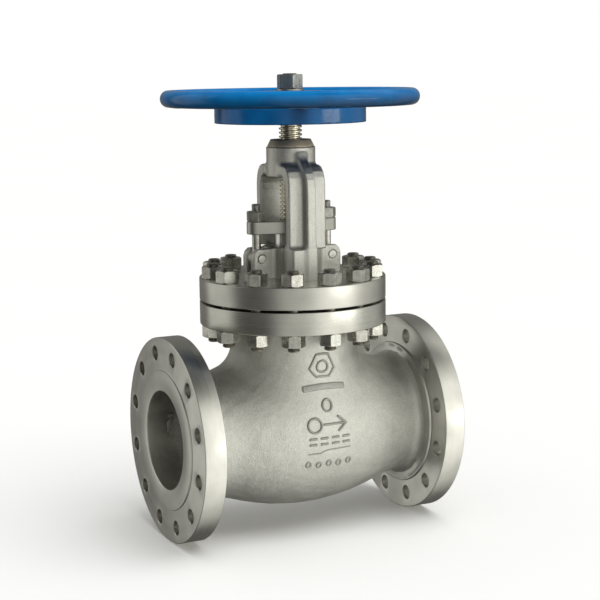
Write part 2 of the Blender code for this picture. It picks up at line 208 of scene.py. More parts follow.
def drill(centres, radius, low, high, chamfer, axis="Z"):
    """One cutter of several chamfered holes along an axis; centres are across that axis."""
    over = 3.0
    outline = [(0.0, low - over), (radius + chamfer + over, low - over), (radius, low + chamfer),
               (radius, high - chamfer), (radius + chamfer + over, high + over), (0.0, high + over)]
    one, faces = turned_mesh(outline, HOLE_SIDES, axis)
    points = []
    all_faces = []
    for u, v in centres:
        move = {"Z": (u, v, 0.0), "X": (0.0, u, v), "Y": (u, 0.0, v)}[axis]
        base = len(points) * len(one)
        points.append(one + np.array(move))
        all_faces += [[base + corner for corner in face] for face in faces]
    return add_mesh("drill", np.concatenate(points), all_faces, None, None)


def ring_of(radius, count, start=0.0):
    return [(radius * math.cos(start + math.tau * k / count),
             radius * math.sin(start + math.tau * k / count)) for k in range(count)]


def ring_faces(rings, segments, closed=False):
    """Quads between successive rings of points, and from the last to the first if closed."""
    faces = []
    for n in range(rings if closed else rings - 1):
        a, b = n * segments, (n + 1) % rings * segments
        for k in range(segments):
            j = (k + 1) % segments
            faces.append([a + k, a + j, b + j, b + k])
    return faces


def helix_rod(name, stations, pitch, depth, mat, body, nodes=(), segments=64, flat=0.3,
              row=0.5, at=(0, 0, 0)):
    """A turned rod with threaded stretches.

    stations is a list of (z, radius, threaded): the radius runs straight between stations, and a
    stretch is threaded where the station at its start says so.
    """
    rows = []
    for (z0, r0, thread), (z1, r1, _) in zip(stations, stations[1:]):
        count = max(1, int(math.ceil((z1 - z0) / row))) if thread else 1
        for k in range(count):
            t = k / count
            rows.append((z0 + (z1 - z0) * t, r0 + (r1 - r0) * t, thread))
    rows.append((stations[-1][0], stations[-1][1], False))
    theta = np.arange(segments) * math.tau / segments
    points = []
    for z, r, thread in rows:
        radius = np.full(segments, r)
        if thread:
            starts = [s[0] for s in stations]
            span = max(s for s in starts if s <= z + 1e-9)
            end = min([s for s in starts if s > z + 1e-9])
            fade = min(1.0, (z - span) / (0.6 * pitch), (end - z) / (0.6 * pitch))
            phase = np.mod(z / pitch - theta / math.tau, 1.0)
            wave = np.abs(phase - 0.5) * 2.0
            wave = np.clip((wave - flat) / (1.0 - 2 * flat), 0.0, 1.0)
            radius = r - depth * max(fade, 0.0) * wave
        points.append(np.stack([radius * np.cos(theta), radius * np.sin(theta),
                                np.full(segments, z)], 1))
    points = np.concatenate(points)
    faces = ring_faces(len(rows), segments)
    faces.append(list(range(segments))[::-1])
    faces.append([(len(rows) - 1) * segments + k for k in range(segments)])
    return add_mesh(name, points + np.array(at, float), faces, mat, body, nodes, 40.0)


def hex_loops(across, height, bore, turn, both=False, washer=0.0):
    """Rings of (radius, z) over angle for a nut with its corners chamfered."""
    count = 96
    theta = np.arange(count) * math.tau / count
    local = np.mod(theta, math.pi / 3) - math.pi / 6
    flat_r = across / 2
    hexagon = flat_r / np.cos(local)
    round_r = flat_r * (1 + 0.012)
    hexagon = np.minimum(hexagon, across / math.sqrt(3) * 0.992)
    drop = np.maximum(hexagon - round_r, 0.0) * math.tan(math.radians(30))
    bore_c = bore + 0.9
    rings = []
    low_drop = drop if both else np.zeros(count)
    rings.append((np.full(count, bore), np.full(count, 0.9)))
    rings.append((np.full(count, bore_c), np.zeros(count)))
    if washer:
        rings.append((np.full(count, round_r - 0.6), np.zeros(count)))
        rings.append((np.full(count, round_r - 0.6), np.full(count, washer)))
        rings.append((np.minimum(hexagon, round_r), np.full(count, washer)))
        rings.append((hexagon, washer + drop))
    else:
        rings.append((np.minimum(hexagon, round_r), np.zeros(count)))
        rings.append((hexagon, low_drop + 0.15))
    rings.append((hexagon, height - drop - 0.25))
    rings.append((hexagon - 0.25, height - drop))
    rings.append((np.minimum(hexagon - 0.25, round_r), np.full(count, height)))
    rings.append((np.full(count, bore_c), np.full(count, height)))
    rings.append((np.full(count, bore), np.full(count, height - 0.9)))
    points = []
    for radius, z in rings:
        angle = theta + math.radians(turn)
        points.append(np.stack([radius * np.cos(angle), radius * np.sin(angle),
                                np.broadcast_to(z, count)], 1))
    points = np.concatenate(points)
    return points, ring_faces(len(rings), count, closed=True)


def nut(name, across, height, bore, turn, at, mat, body, nodes=(), both=False, flip=False,
        washer=0.0):
    points, faces = hex_loops(across, height, bore, turn, both=both, washer=washer)
    if flip:
        points = points * np.array([1.0, 1.0, -1.0]) + np.array([0.0, 0.0, height])
        faces = [face[::-1] for face in faces]
    return add_mesh(name, points + np.array(at, float), faces, mat, body, nodes, 28.0)


# ------------------------------------------------- solid fields for castings

def merge(a, b, radius):
    """Union of two fields with a round fillet between them."""
    u = np.maximum(radius - a, 0.0)
    v = np.maximum(radius - b, 0.0)
    return np.maximum(radius, np.minimum(a, b)) - np.sqrt(u * u + v * v)


def common(a, b, radius):
    """Intersection of two fields with a rounded edge."""
    u = np.maximum(radius + a, 0.0)
    v = np.maximum(radius + b, 0.0)
    return np.minimum(-radius, np.maximum(a, b)) + np.sqrt(u * u + v * v)


def carve(a, b, radius):
    return common(a, -b, radius)


def slab(v, low, high):
    return np.maximum(low - v, v - high)


def polygon_field(outline, u, v):
    """Signed distance to a closed 2-D outline."""
    best = np.full(u.shape, 1e9, u.dtype)
    inside = np.zeros(u.shape, bool)
    pts = np.asarray(outline, float)
    for (ax, ay), (bx, by) in zip(pts, np.roll(pts, -1, 0)):
        ex, ey = bx - ax, by - ay
        wx, wy = u - ax, v - ay
        t = np.clip((wx * ex + wy * ey) / (ex * ex + ey * ey), 0.0, 1.0)
        best = np.minimum(best, (wx - ex * t) ** 2 + (wy - ey * t) ** 2)
        crosses = (ay > v) != (by > v)
        side = (v - ay) * (bx - ax) / (by - ay if by != ay else 1e-9) + ax
        inside ^= crosses & (u < side)
    return np.where(inside, -1.0, 1.0) * np.sqrt(best)


def surface_net(field, low, high, step):
    """Quad mesh of the zero level of field(x, y, z), with its points settled onto it."""
    low = np.asarray(low, float)
    counts = np.ceil((np.asarray(high, float) - low) / step).astype(int) + 1
    axes = [low[n] + step * np.arange(counts[n]) for n in range(3)]
    grid = np.stack(np.meshgrid(*axes, indexing="ij"), -1)
    value = field(grid[..., 0], grid[..., 1], grid[..., 2])
    inside = value < 0
    cells = tuple(c - 1 for c in counts)
    total = np.zeros(cells + (3,))
    hits = np.zeros(cells)
    for axis in range(3):
        others = [n for n in range(3) if n != axis]
        for da in (0, 1):
            for db in (0, 1):
                start = [slice(0, c) for c in cells]
                start[others[0]] = slice(da, da + cells[others[0]])
                start[others[1]] = slice(db, db + cells[others[1]])
                end = list(start)
                end[axis] = slice(1, 1 + cells[axis])
                a, b = value[tuple(start)], value[tuple(end)]
                cross = inside[tuple(start)] != inside[tuple(end)]
                t = np.where(cross, a / np.where(cross, a - b, 1.0), 0.0)
                place = np.zeros(cells + (3,))
                place[..., axis] = t
                place[..., others[0]] = da
                place[..., others[1]] = db
                total += np.where(cross[..., None], place, 0.0)
                hits += cross
    live = hits > 0
    index = np.full(cells, -1)
    index[live] = np.arange(int(live.sum()))
    corner = np.stack(np.nonzero(live), 1)
    points = low + step * (corner + total[live] / hits[live][:, None])
    quads = []
    for axis in range(3):
        others = [n for n in range(3) if n != axis]
        span = [slice(1, c) for c in cells]
        span[axis] = slice(0, cells[axis])
        near = [slice(1, c) for c in cells]
        near[axis] = slice(0, cells[axis])
        far = list(near)
        far[axis] = slice(1, cells[axis] + 1)
        a, b = inside[tuple(near)], inside[tuple(far)]
        cross = a != b
        spots = np.stack(np.nonzero(cross), 1)
        for n in others:
            spots[:, n] += 1
        flip = b[cross]
        ring = []
        for da, db in ((1, 1), (0, 1), (0, 0), (1, 0)):
            s = spots.copy()
            s[:, others[0]] -= da
            s[:, others[1]] -= db
            ring.append(index[s[:, 0], s[:, 1], s[:, 2]])
        quad = np.stack(ring, 1)
        backward = flip if axis != 1 else ~flip
        quad[backward] = quad[backward][:, ::-1]
        quads.append(quad)
    quads = np.concatenate(quads)
    nudge = 0.25 * step

    def gradient(p):
        out = np.zeros_like(p)
        for n in range(3):
            e = np.zeros(3)
            e[n] = nudge
            out[:, n] = (field(*(p + e).T) - field(*(p - e).T)) / (2 * nudge)
        return out

    for _ in range(3):
        slope = gradient(points)
        size = np.maximum((slope ** 2).sum(1), 0.05)
        move = -field(*points.T)[:, None] * slope / size[:, None]
        reach = np.linalg.norm(move, axis=1, keepdims=True)
        points = points + move * np.minimum(1.0, 0.6 * step / np.maximum(reach, 1e-9))
    return points, quads.tolist()


# ------------------------------------------------------------------ materials

class Shader:
    """Small helper that wires one Principled material from procedural nodes."""

    def __init__(self, name):
        self.mat = bpy.data.materials.new(name)
        self.mat.use_nodes = True
        self.tree = self.mat.node_tree
        self.bsdf = self.tree.nodes["Principled BSDF"]
        self.coords = self.add("ShaderNodeTexCoord").outputs["Object"]

    def add(self, kind, **values):
        node = self.tree.nodes.new(kind)
        for key, value in values.items():
            setattr(node, key, value)
        return node

    def link(self, source, target):
        self.tree.links.new(source, target)

    def put(self, key, value):
        self.bsdf.inputs[key].default_value = value

    def scaled(self, scale):
        node = self.add("ShaderNodeMapping")
        node.inputs["Scale"].default_value = scale
        self.link(self.coords, node.inputs["Vector"])
        return node.outputs["Vector"]

    def noise(self, size_mm, detail=4.0, rough=0.55, vector=None):
        node = self.add("ShaderNodeTexNoise")
        node.inputs["Scale"].default_value = 1.0 / (size_mm * MM)
        node.inputs["Detail"].default_value = detail
        node.inputs["Roughness"].default_value = rough
        self.link(vector or self.coords, node.inputs["Vector"])
        return node.outputs["Fac"]

    def cells(self, size_mm):
        node = self.add("ShaderNodeTexVoronoi", feature="F1")
        node.inputs["Scale"].default_value = 1.0 / (size_mm * MM)
        self.link(self.coords, node.inputs["Vector"])
        return node.outputs["Distance"]

    def ramp(self, source, stops):
        node = self.add("ShaderNodeValToRGB")
        elements = node.color_ramp.elements
        while len(elements) < len(stops):
            elements.new(0.5)
        for element, (place, colour) in zip(elements, stops):
            element.position = place
            if not isinstance(colour, tuple):
                colour = (colour, colour, colour)
            element.color = (*colour, 1.0)
        self.link(source, node.inputs["Fac"])
        return node.outputs["Color"]

    def math(self, operation, a, b=0.5):
        node = self.add("ShaderNodeMath", operation=operation)
        for socket, value in zip(node.inputs, (a, b)):
            if isinstance(value, (int, float)):
                socket.default_value = value
            else:
                self.link(value, socket)
        return node.outputs["Value"]

    def weigh(self, *parts):
        """Sum of (value, weight) pairs."""
        total = None
        for value, weight in parts:
            part = self.math("MULTIPLY", value, weight)
            total = part if total is None else self.math("ADD", total, part)
        return total

    def mix(self, factor, a, b, blend="MIX"):
        node = self.add("ShaderNodeMix", data_type="RGBA", blend_type=blend)
        sockets = (node.inputs[0], node.inputs[6], node.inputs[7])
        for socket, value in zip(sockets, (factor, a, b)):
            if isinstance(value, tuple):
                socket.default_value = (*value, 1.0)
            elif isinstance(value, (int, float)):
                socket.default_value = value
            else:
                self.link(value, socket)
        return node.outputs[2]

    def bump(self, height, distance_mm, strength=1.0):
        node = self.add("ShaderNodeBump")
        node.inputs["Strength"].default_value = strength
        node.inputs["Distance"].default_value = distance_mm * MM
        self.link(height, node.inputs["Height"])
        return node.outputs["Normal"]

    def split(self):
        node = self.add("ShaderNodeSeparateXYZ")
        self.link(self.coords, node.inputs["Vector"])
        return node.outputs

    def radius_from(self, axis):
        """Distance from an axis through the origin, in metres."""
        x, y, z = self.split()
        pair = {"X": (y, z), "Y": (x, z), "Z": (x, y)}[axis]
        squares = [self.math("MULTIPLY", value, value) for value in pair]
        return self.math("SQRT", self.math("ADD", *squares))

    def finish(self, colour=None, rough=None, normal=None):
        if colour is not None:
            self.link(colour, self.bsdf.inputs["Base Color"])
        if rough is not None:
            self.link(rough, self.bsdf.inputs["Roughness"])
        if normal is not None:
            self.link(normal, self.bsdf.inputs["Normal"])
        return self.mat


def shade(base, factor):
    return tuple(min(1.0, c * factor) for c in base)


def cast_steel(name, light=1.0, grit=0.9, gloss=0.0):
    """Bead-blasted cast stainless: fine grain, shallow pits, faint blotches."""
    s = Shader(name)
    s.put("Metallic", 1.0)
    blotch = s.noise(26.0, 3.0, 0.6)
    grain = s.noise(1.7, 3.0, 0.7)
    fine = s.noise(0.6, 2.0, 0.5)
    pits = s.ramp(s.cells(5.2), [(0.0, 0.0), (0.16, 1.0)])
    low = shade((0.55, 0.545, 0.51), light)
    high = shade((0.82, 0.815, 0.775), light)
    tone = s.weigh((blotch, 0.25), (grain, 0.75))
    colour = s.ramp(tone, [(0.33, low), (0.67, high)])
    colour = s.mix(0.35, colour, pits, "MULTIPLY")
    rough = s.ramp(s.weigh((grain, 0.6), (blotch, 0.4)),
                   [(0.35, 0.36 - gloss), (0.65, 0.52 - gloss)])
    height = s.weigh((grain, 0.85), (fine, 0.4), (s.noise(7.0, 2.0, 0.5), 0.4), (pits, 0.25))
    return s.finish(colour, rough, s.bump(height, 0.9, grit))


def turned_steel(name, axis, base=(0.62, 0.61, 0.58), rough=0.26, groove_mm=0.35, depth_mm=0.015):
    """Machined steel with fine tool marks running round an axis."""
    s = Shader(name)
    s.put("Metallic", 1.0)
    radius = s.radius_from(axis)
    along = s.split()["XYZ".index(axis)]
    marks = s.add("ShaderNodeCombineXYZ")
    s.link(radius, marks.inputs[0])
    s.link(along, marks.inputs[1])
    lines = s.noise(groove_mm, 2.0, 0.6, vector=marks.outputs["Vector"])
    broad = s.noise(14.0, 2.0, 0.5, vector=marks.outputs["Vector"])
    smear = s.noise(40.0, 3.0, 0.5)
    tone = s.weigh((lines, 0.35), (smear, 0.65))
    colour = s.ramp(tone, [(0.3, shade(base, 0.82)), (0.7, shade(base, 1.12))])
    rough_map = s.ramp(s.weigh((broad, 0.5), (lines, 0.5)),
                       [(0.3, rough * 0.85), (0.7, rough * 1.3)])
    height = s.weigh((lines, 0.7), (broad, 0.3))
    normal = s.bump(height, depth_mm, 1.0)
    return s.finish(colour, rough_map, normal)


def forged_steel(name, base=(0.54, 0.53, 0.49), rough=0.24):
    """Dull forged nuts and studs with light handling marks."""
    s = Shader(name)
    s.put("Metallic", 1.0)
    film = s.noise(9.0, 4.0, 0.6)
    grain = s.noise(0.9, 3.0, 0.6)
    scratch = s.noise(3.0, 3.0, 0.6, vector=s.scaled((1.0, 1.0, 9.0)))
    colour = s.ramp(s.weigh((film, 0.7), (grain, 0.3)),
                    [(0.32, shade(base, 0.70)), (0.68, shade(base, 1.25))])
    rough_map = s.ramp(s.weigh((film, 0.5), (scratch, 0.5)),
                       [(0.3, rough * 0.8), (0.7, rough * 1.4)])
    height = s.weigh((grain, 0.4), (scratch, 0.6))
    return s.finish(colour, rough_map, s.bump(height, 0.05, 0.8))


def blue_paint(name):
    """Glossy blue enamel over a casting, with orange peel and a few dust nibs."""
    s = Shader(name)
    s.put("Metallic", 0.0)
    s.put("IOR", 1.45)
    s.put("Specular IOR Level", 0.36)
    tone = s.noise(30.0, 3.0, 0.5)
    colour = s.ramp(tone, [(0.35, (0.003, 0.17, 0.48)), (0.65, (0.005, 0.22, 0.60))])
    peel = s.noise(3.2, 2.0, 0.5)
    fine = s.noise(1.1, 2.0, 0.5)
    nibs = s.ramp(s.cells(17.0), [(0.0, 1.0), (0.045, 0.0)])
    rough = s.ramp(s.noise(12.0, 3.0, 0.6), [(0.3, 0.045), (0.7, 0.08)])
    height = s.weigh((peel, 0.75), (fine, 0.2), (nibs, 0.5))
    return s.finish(colour, rough, s.bump(height, 0.22, 0.7))


def plain_dark(name, base, rough, metallic=0.0):
    s = Shader(name)
    s.put("Metallic", metallic)
    grain = s.noise(1.2, 3.0, 0.6)
    colour = s.ramp(grain, [(0.35, shade(base, 0.7)), (0.65, shade(base, 1.4))])
    rough_map = s.ramp(s.noise(4.0, 2.0, 0.5), [(0.3, rough * 0.85), (0.7, min(1.0, rough * 1.15))])
    return s.finish(colour, rough_map, s.bump(grain, 0.08, 0.6))


CAST = cast_steel("cast_body_steel")
CAST_YOKE = cast_steel("cast_yoke_steel", 0.84, 0.75, 0.06)
# Darker copy of the cast steel for the raised marks: painted shade that stands in for the shaded outlines
# round the raised strokes
SHADED_MARK_CAST = cast_steel("cast_mark_painted_shade_steel", 0.66)
END_FLANGE = turned_steel("machined_end_flange", "X", (0.69, 0.68, 0.64), 0.30)
BONNET_FLANGE = turned_steel("machined_bonnet_flange", "Z", (0.60, 0.59, 0.55), 0.28)
GLAND = turned_steel("machined_gland", "Z", (0.46, 0.455, 0.42), 0.36, 0.5, 0.03)
TRIM = turned_steel("ground_trim", "Z", (0.66, 0.65, 0.63), 0.20)
STEM = turned_steel("bright_stem", "Z", (0.56, 0.52, 0.42), 0.24, 0.25, 0.01)
BRONZE = turned_steel("dark_bushing", "Z", (0.72, 0.62, 0.48), 0.50, 0.4, 0.03)
BARE_DISC = turned_steel("bare_disc", "Z", (0.70, 0.69, 0.68), 0.24)
NUTS = forged_steel("forged_nuts")
STUDS_STEEL = forged_steel("stud_steel", (0.30, 0.28, 0.25), 0.34)
GLAND_NUTS = forged_steel("gland_nuts", (0.52, 0.51, 0.47), 0.32)
WHEEL_NUT = forged_steel("wheel_nut_steel", (0.42, 0.43, 0.40), 0.30)
PIN = forged_steel("pin_steel", (0.66, 0.65, 0.61), 0.42)
PAINT = blue_paint("blue_enamel")
GRAPHITE = plain_dark("graphite_rings", (0.03, 0.03, 0.03), 0.6)
GASKET = plain_dark("gasket_edge", (0.035, 0.034, 0.032), 0.65, 0.3)


# -------------------------------------------------------------- body casting

def barrel_r(x):
    return BARREL_R - x * x / (2 * BARREL_CURVE)


WAVES = [(31.0, (0.8, 0.5, 0.33), 0.4), (23.0, (-0.45, 0.83, 0.33), 2.1), (19.0, (0.2, -0.35, 0.92), 4.0),
         (14.5, (0.62, 0.1, -0.78), 1.2), (12.0, (-0.3, 0.6, 0.74), 5.1), (10.5, (0.9, -0.4, 0.17), 3.3),
         (17.0, (-0.75, -0.6, 0.28), 0.9), (9.0, (0.35, 0.75, -0.56), 2.7)]


def unevenness(x, y, z, height):
    """Slow hammered unevenness of a sand casting, in millimetres."""
    total = 0.0
    for length, (ax, ay, az), phase in WAVES:
        k = math.tau / length
        bend = 1.3 * np.sin(k * 0.37 * (ay * x + az * y + ax * z) + 2.0 * phase)
        total = total + np.sin(k * (ax * x + ay * y + az * z) + phase + bend) * length / 20.0
    return total * height / len(WAVES)


def body_outside(x, y, z):
    """Cast outside of the body: barrel, tube ends, neck, with round fillets."""
    ax = np.abs(x)
    rho = np.sqrt(y * y + z * z)
    slope = np.sqrt(1.0 + (x / BARREL_CURVE) ** 2)
    barrel = (rho - barrel_r(x)) / slope
    tube = common(merge(rho - TUBE_R, FLANGE_NECK_X - ax, 15.0), rho - FLANGE_HUB_R + 1.0, 1.0)
    shell = merge(barrel, tube, 9.0)
    shell = np.maximum(shell, ax - 188.0)
    across = np.sqrt(x * x + y * y)
    neck = common(across - NECK_R, 40.0 - z, 2.0)
    neck = merge(neck, 169.5 - z, 5.0)
    neck = np.maximum(neck, z - 171.0)
    neck = np.maximum(neck, across - 140.0)
    neck = np.maximum(neck, 30.0 - z)
    return merge(shell, neck, 24.0) + unevenness(x, y, z, 0.5)


def body_passage(x, y, z):
    """Inside of the body: bores, the chamber, and the partition that carries the seat."""
    rho = np.sqrt(y * y + z * z)
    across = np.sqrt(x * x + y * y)
    chamber = np.maximum(rho - (barrel_r(x) - BARREL_WALL), np.abs(x) - 150.0)
    hollow = merge(rho - PIPE_BORE_R, chamber, 14.0)
    bore = common(across - NECK_BORE_R, 14.0 - z, 4.0)
    hollow = merge(hollow, bore, 6.0)
    wall = [(-116, 130), (-101, 130), (-93, 40), (-87, 10), (87, 10), (95, 2), (101, -40),
            (109, -130), (94, -130), (86, -40), (80, -9), (-93, -9), (-101, 0), (-107, 40)]
    partition = polygon_field(wall, x, z) - 0.5
    seat_hole = np.maximum(across - 80.3, np.abs(z) - 20.0)
    return carve(hollow, np.maximum(partition, -seat_hole), 5.0)


def body_solid(x, y, z):
    return np.maximum(body_outside(x, y, z), -body_passage(x, y, z))


points, faces = surface_net(body_solid, (-189.0, -128.0, -128.0), (189.0, 128.0, 172.5), 2.6)
add_mesh("body_casting", points, faces, CAST, "valve_body", ("body",), sharp=None)

# Plain raised marks: a hexagon badge, a bar, a ring, a flow arrow, blocks, a weld line and pips

def on_body(x, girth):
    """Points and outward normals on the front of the casting, girth mm up round the barrel."""
    beta = girth / BARREL_R
    way = np.stack([np.zeros_like(x), -np.cos(beta), np.sin(beta)], -1)
    start = np.stack([x, np.zeros_like(x), np.zeros_like(x)], -1)
    low, high = np.full(x.shape, 60.0), np.full(x.shape, 170.0)
    for _ in range(30):
        mid = (low + high) / 2
        outside = body_outside(*(start + way * mid[:, None]).T) > 0
        high, low = np.where(outside, mid, high), np.where(outside, low, mid)
    points = start + way * low[:, None]
    slope = np.zeros_like(points)
    for n in range(3):
        e = np.zeros(3)
        e[n] = 1.5
        slope[:, n] = body_outside(*(points + e).T) - body_outside(*(points - e).T)
    return points, slope / np.linalg.norm(slope, axis=1, keepdims=True)


STROKE_STEP = 1.2


def resample(line):
    line = np.asarray(line, float)
    lengths = np.concatenate([[0.0], np.cumsum(np.linalg.norm(np.diff(line, axis=0), axis=1))])
    count = max(3, int(lengths[-1] / STROKE_STEP) + 1)
    at = np.linspace(0.0, lengths[-1], count)
    return np.stack([np.interp(at, lengths, line[:, n]) for n in range(2)], 1)


def raised_strokes(name, strokes):
    """Closed raised ribs laid along lines (points, width, height, closed) on the casting."""
    verts, faces = [], []
    for line, width, height, closed in strokes:
        if closed:
            line = list(line) + [line[0]]
        path = resample(line)
        if closed:
            path = path[:-1]
        points, normals = on_body(path[:, 0], path[:, 1])
        if closed:
            ahead = np.roll(points, -1, 0) - np.roll(points, 1, 0)
        else:
            ahead = np.gradient(points, axis=0)
        side = np.cross(normals, ahead)
        side /= np.linalg.norm(side, axis=1, keepdims=True)
        half, round_ = width / 2, min(0.45 * width, height * 0.8)
        section = [(-half - 0.5, -0.8), (-half - 0.15, 0.15), (-half + 0.25 * round_, height * 0.72),
                   (-half + round_, height), (half - round_, height),
                   (half - 0.25 * round_, height * 0.72), (half + 0.15, 0.15), (half + 0.5, -0.8)]
        first, rows, cols = len(verts), len(points), len(section)
        for k in range(rows):
            shrink = 1.0 if closed or 0 < k < rows - 1 else 0.7
            for across, lift in section:
                lift = lift if lift < 0 else lift * shrink
                verts.append(points[k] + side[k] * across * shrink + normals[k] * lift)
        for k in range(rows if closed else rows - 1):
            for n in range(cols):
                a, b = first + k * cols, first + (k + 1) % rows * cols
                m = (n + 1) % cols
                faces.append((a + n, b + n, b + m, a + m))
        if not closed:
            faces.append(tuple(first + n for n in range(cols)))
            faces.append(tuple(first + (rows - 1) * cols + n for n in reversed(range(cols))))
    # The marks take the darker cast steel, painted shade for their shaded outlines
    return add_mesh(name, np.array(verts), faces, SHADED_MARK_CAST, "valve_body", sharp=50)


def loop(cx, cy, radius, corners, squash=1.0):
    return [(cx + radius * math.cos(math.tau * k / corners),
             cy + squash * radius * math.sin(math.tau * k / corners)) for k in range(corners)]


strokes = [(loop(0.0, 104.0, 21.0, 6, squash=0.55), 3.6, 1.8, True),
           (loop(0.0, 104.0, 9.0, 28, squash=0.55), 3.5, 1.8, True),
           ([(-35.5, 81.5), (35.5, 81.5)], 10.0, 1.8, False),
           (loop(0.0, 54.0, 7.6, 28, squash=1.2), 3.8, 2.0, True),
           ([(-10.0, 25.0), (27.0, 25.0)], 3.8, 2.0, False),
           ([(15.0, 37.0), (29.0, 25.0), (15.0, 13.0)], 3.8, 2.0, False),
           (loop(-24.0, 25.0, 11.0, 28), 3.8, 2.0, True)]
for cx in (-28.0, -9.5, 9.5, 28.0):
    for row in (4.5, -4.5):
        strokes.append(([(cx - 6.5, row), (cx + 6.5, row)], 3.8, 1.8, False))
strokes.append(([(-36.0, -19.5), (-16.0, -18.8), (-9.0, -16.0), (-2.0, -14.5), (36.0, -14.0)],
                2.0, 1.0, False))
for k, cx in enumerate((-34.0, -17.0, 0.0, 17.0, 34.0)):
    strokes.append((loop(cx, -37.0 - (k % 2) * 1.5, 3.6, 20, squash=1.2), 3.2, 1.2, True))
raised_strokes("cast_marks", strokes)

# End flanges
for side, tag in ((-1, "inlet"), (1, "outlet")):
    outline = [(PIPE_BORE_R, 176.0, 0), (PIPE_BORE_R, FACE_X, 1.2), (RAISED_FACE_R, FACE_X, 0.5),
               (RAISED_FACE_R, FACE_X - 2.0, 0.6), (END_FLANGE_R, FACE_X - 2.0, 1.4),
               (END_FLANGE_R, FLANGE_BACK_X, 1.4), (115.0, FLANGE_BACK_X, 0.6),
               (114.3, 182.3, 0.8), (108.0, 182.0, 0), (88.0, 176.0, 0)]
    flange = turned(f"{tag}_flange", [(p[0], p[1] * side, p[2]) for p in outline], 180,
                    END_FLANGE, "valve_body", axis="X", soft=0.4)
    low, high = sorted((side * FLANGE_BACK_X, side * (FACE_X - 2.0)))
    holes = ring_of(PIPE_BOLT_R, PIPE_BOLTS, math.pi / PIPE_BOLTS)
    cut(flange, [drill([(y, z) for y, z in holes], PIPE_HOLE_R, low, high, 0.8, "X")])

# Body-bonnet flange pair
stud_spots = ring_of(STUD_CIRCLE_R, STUDS, math.pi / STUDS)
outline = [(NECK_BORE_R, 158.0, 0), (NECK_BORE_R, 203.0, 1.0), (112.0, 203.0, 0.3),
           (112.0, 202.6, 0.2), (BONNET_FLANGE_R, 202.6, 1.2), (BONNET_FLANGE_R, 167.5, 1.6),
           (104.0, 167.5, 0), (97.0, 160.0, 0)]
flange = turned("body_top_flange", outline, 180, BONNET_FLANGE, "valve_body",
                soft=0.4)
cut(flange, [drill(stud_spots, STUD_HOLE_R, 167.5, 202.6, 0.6)])
outline = [(28.3, 178.0, 0.6), (40.0, 178.0, 1.5), (48.0, 190.0, 2.0), (84.1, 190.0, 1.5),
           (84.1, 206.0, 0.5), (112.0, 206.0, 0.2), (112.0, 206.4, 0.2),
           (BONNET_FLANGE_R, 206.4, 1.2), (BONNET_FLANGE_R, 240.5, 1.6), (40.0, 240.5, 0),
           (40.0, 244.0, 0), (28.0, 244.0, 0.0), (28.0, 220.0, 0.8), (18.7, 217.0, 0.5),
           (18.7, 200.3, 0.5), (28.3, 200.3, 0.5)]
flange = turned("bonnet_flange", outline, 180, BONNET_FLANGE, "valve_body",
                soft=0.4)
cut(flange, [drill(stud_spots, STUD_HOLE_R, 206.4, 240.5, 0.6)])
turned("gasket", [(92.0, 203.3), (110.0, 203.3), (110.0, 205.7), (92.0, 205.7)], 120, GASKET,
       "valve_body", ("bonnet_gasket",), soft=0.3)


# --------------------------------------------------------------- yoke casting

WING = [(42, 230), (42, 372), (40.5, 384), (36, 394), (28, 399), (20, 400), (20, 414),
        (36.5, 414.5), (44, 412.0), (50.5, 405), (54.5, 396), (56.5, 384), (56.5, 230)]
RIB = [(50, 230), (50, 398), (40, 404), (34, 404), (34, 431), (38, 431), (46, 421), (57, 411),
       (64, 403), (68.5, 393), (70.5, 382), (71, 370), (71, 230)]
EAR = [(30, 232), (72.5, 232), (75.5, 246), (75.5, 274), (73.2, 281), (68, 286), (60, 286.5),
       (30, 286.5)]


def yoke_solid(x, y, z):
    """Stuffing-box boss, two T-section arms, ears for the eyebolts, and the top hub."""
    across = np.sqrt(x * x + y * y)
    boss = common(across - 45.0, z - 287.5, 2.0)
    boss = merge(boss, z - 240.0, 5.0)
    boss = np.maximum(boss, across - 62.0)
    ay = np.abs(y)
    turned_x = x * np.where(y < 0, 1.0, -1.0)
    half_width = np.where(y < 0, 32.0, 34.5)
    wing = common(polygon_field(WING, ay, z), np.abs(x) - half_width, 4.0)
    rib = common(polygon_field(RIB, ay, z), np.abs(x) - 7.5, 2.2)
    arms = merge(wing, rib, 7.0)
    gap = common(common(slab(turned_x, 7.5, 60.0), slab(ay, 30.0, 80.0), 4.0),
                 slab(z, 200.0, 286.0), 5.0)
    arms = carve(arms, gap, 1.5)
    foot = common(common(slab(turned_x, -32.0, 7.5), slab(ay, 26.0, 71.0), 2.2), z - 288.0, 2.5)
    hub = common(across - HUB_R, slab(z, 396.0, 441.7), 1.2)
    solid = merge(boss, foot, 3.0)
    solid = merge(solid, arms, 9.0)
    solid = merge(solid, hub, 7.0)
    ears = common(polygon_field(EAR, np.abs(x), z), slab(ay, 8.5, 20.5), 1.4)
    solid = merge(solid, ears, 4.0)
    slot = np.maximum(slab(np.abs(x), 47.0, 90.0), ay - 8.5)
    solid = np.maximum(solid, -np.maximum(slot, 243.0 - z))
    stuffing_box = np.maximum(across - 28.0, z - 330.0)
    solid = carve(solid, stuffing_box, 0.8)
    hub_bore = np.maximum(across - 26.3, 360.0 - z)
    solid = carve(solid, hub_bore, 0.8)
    pin_hole = np.sqrt((np.abs(x) - GLAND_BOLT_X) ** 2 + (z - EYE_PIN_Z) ** 2) - 6.5
    solid = carve(solid, pin_hole, 0.5)
    return np.maximum(solid, 239.0 - z)


points, faces = surface_net(yoke_solid, (-80.0, -76.0, 236.0), (80.0, 76.0, 445.0), 1.5)
add_mesh("yoke_casting", points, faces, CAST_YOKE, "valve_body", ("bonnet",),
         sharp=None)


# ------------------------------------------------------------------ fasteners

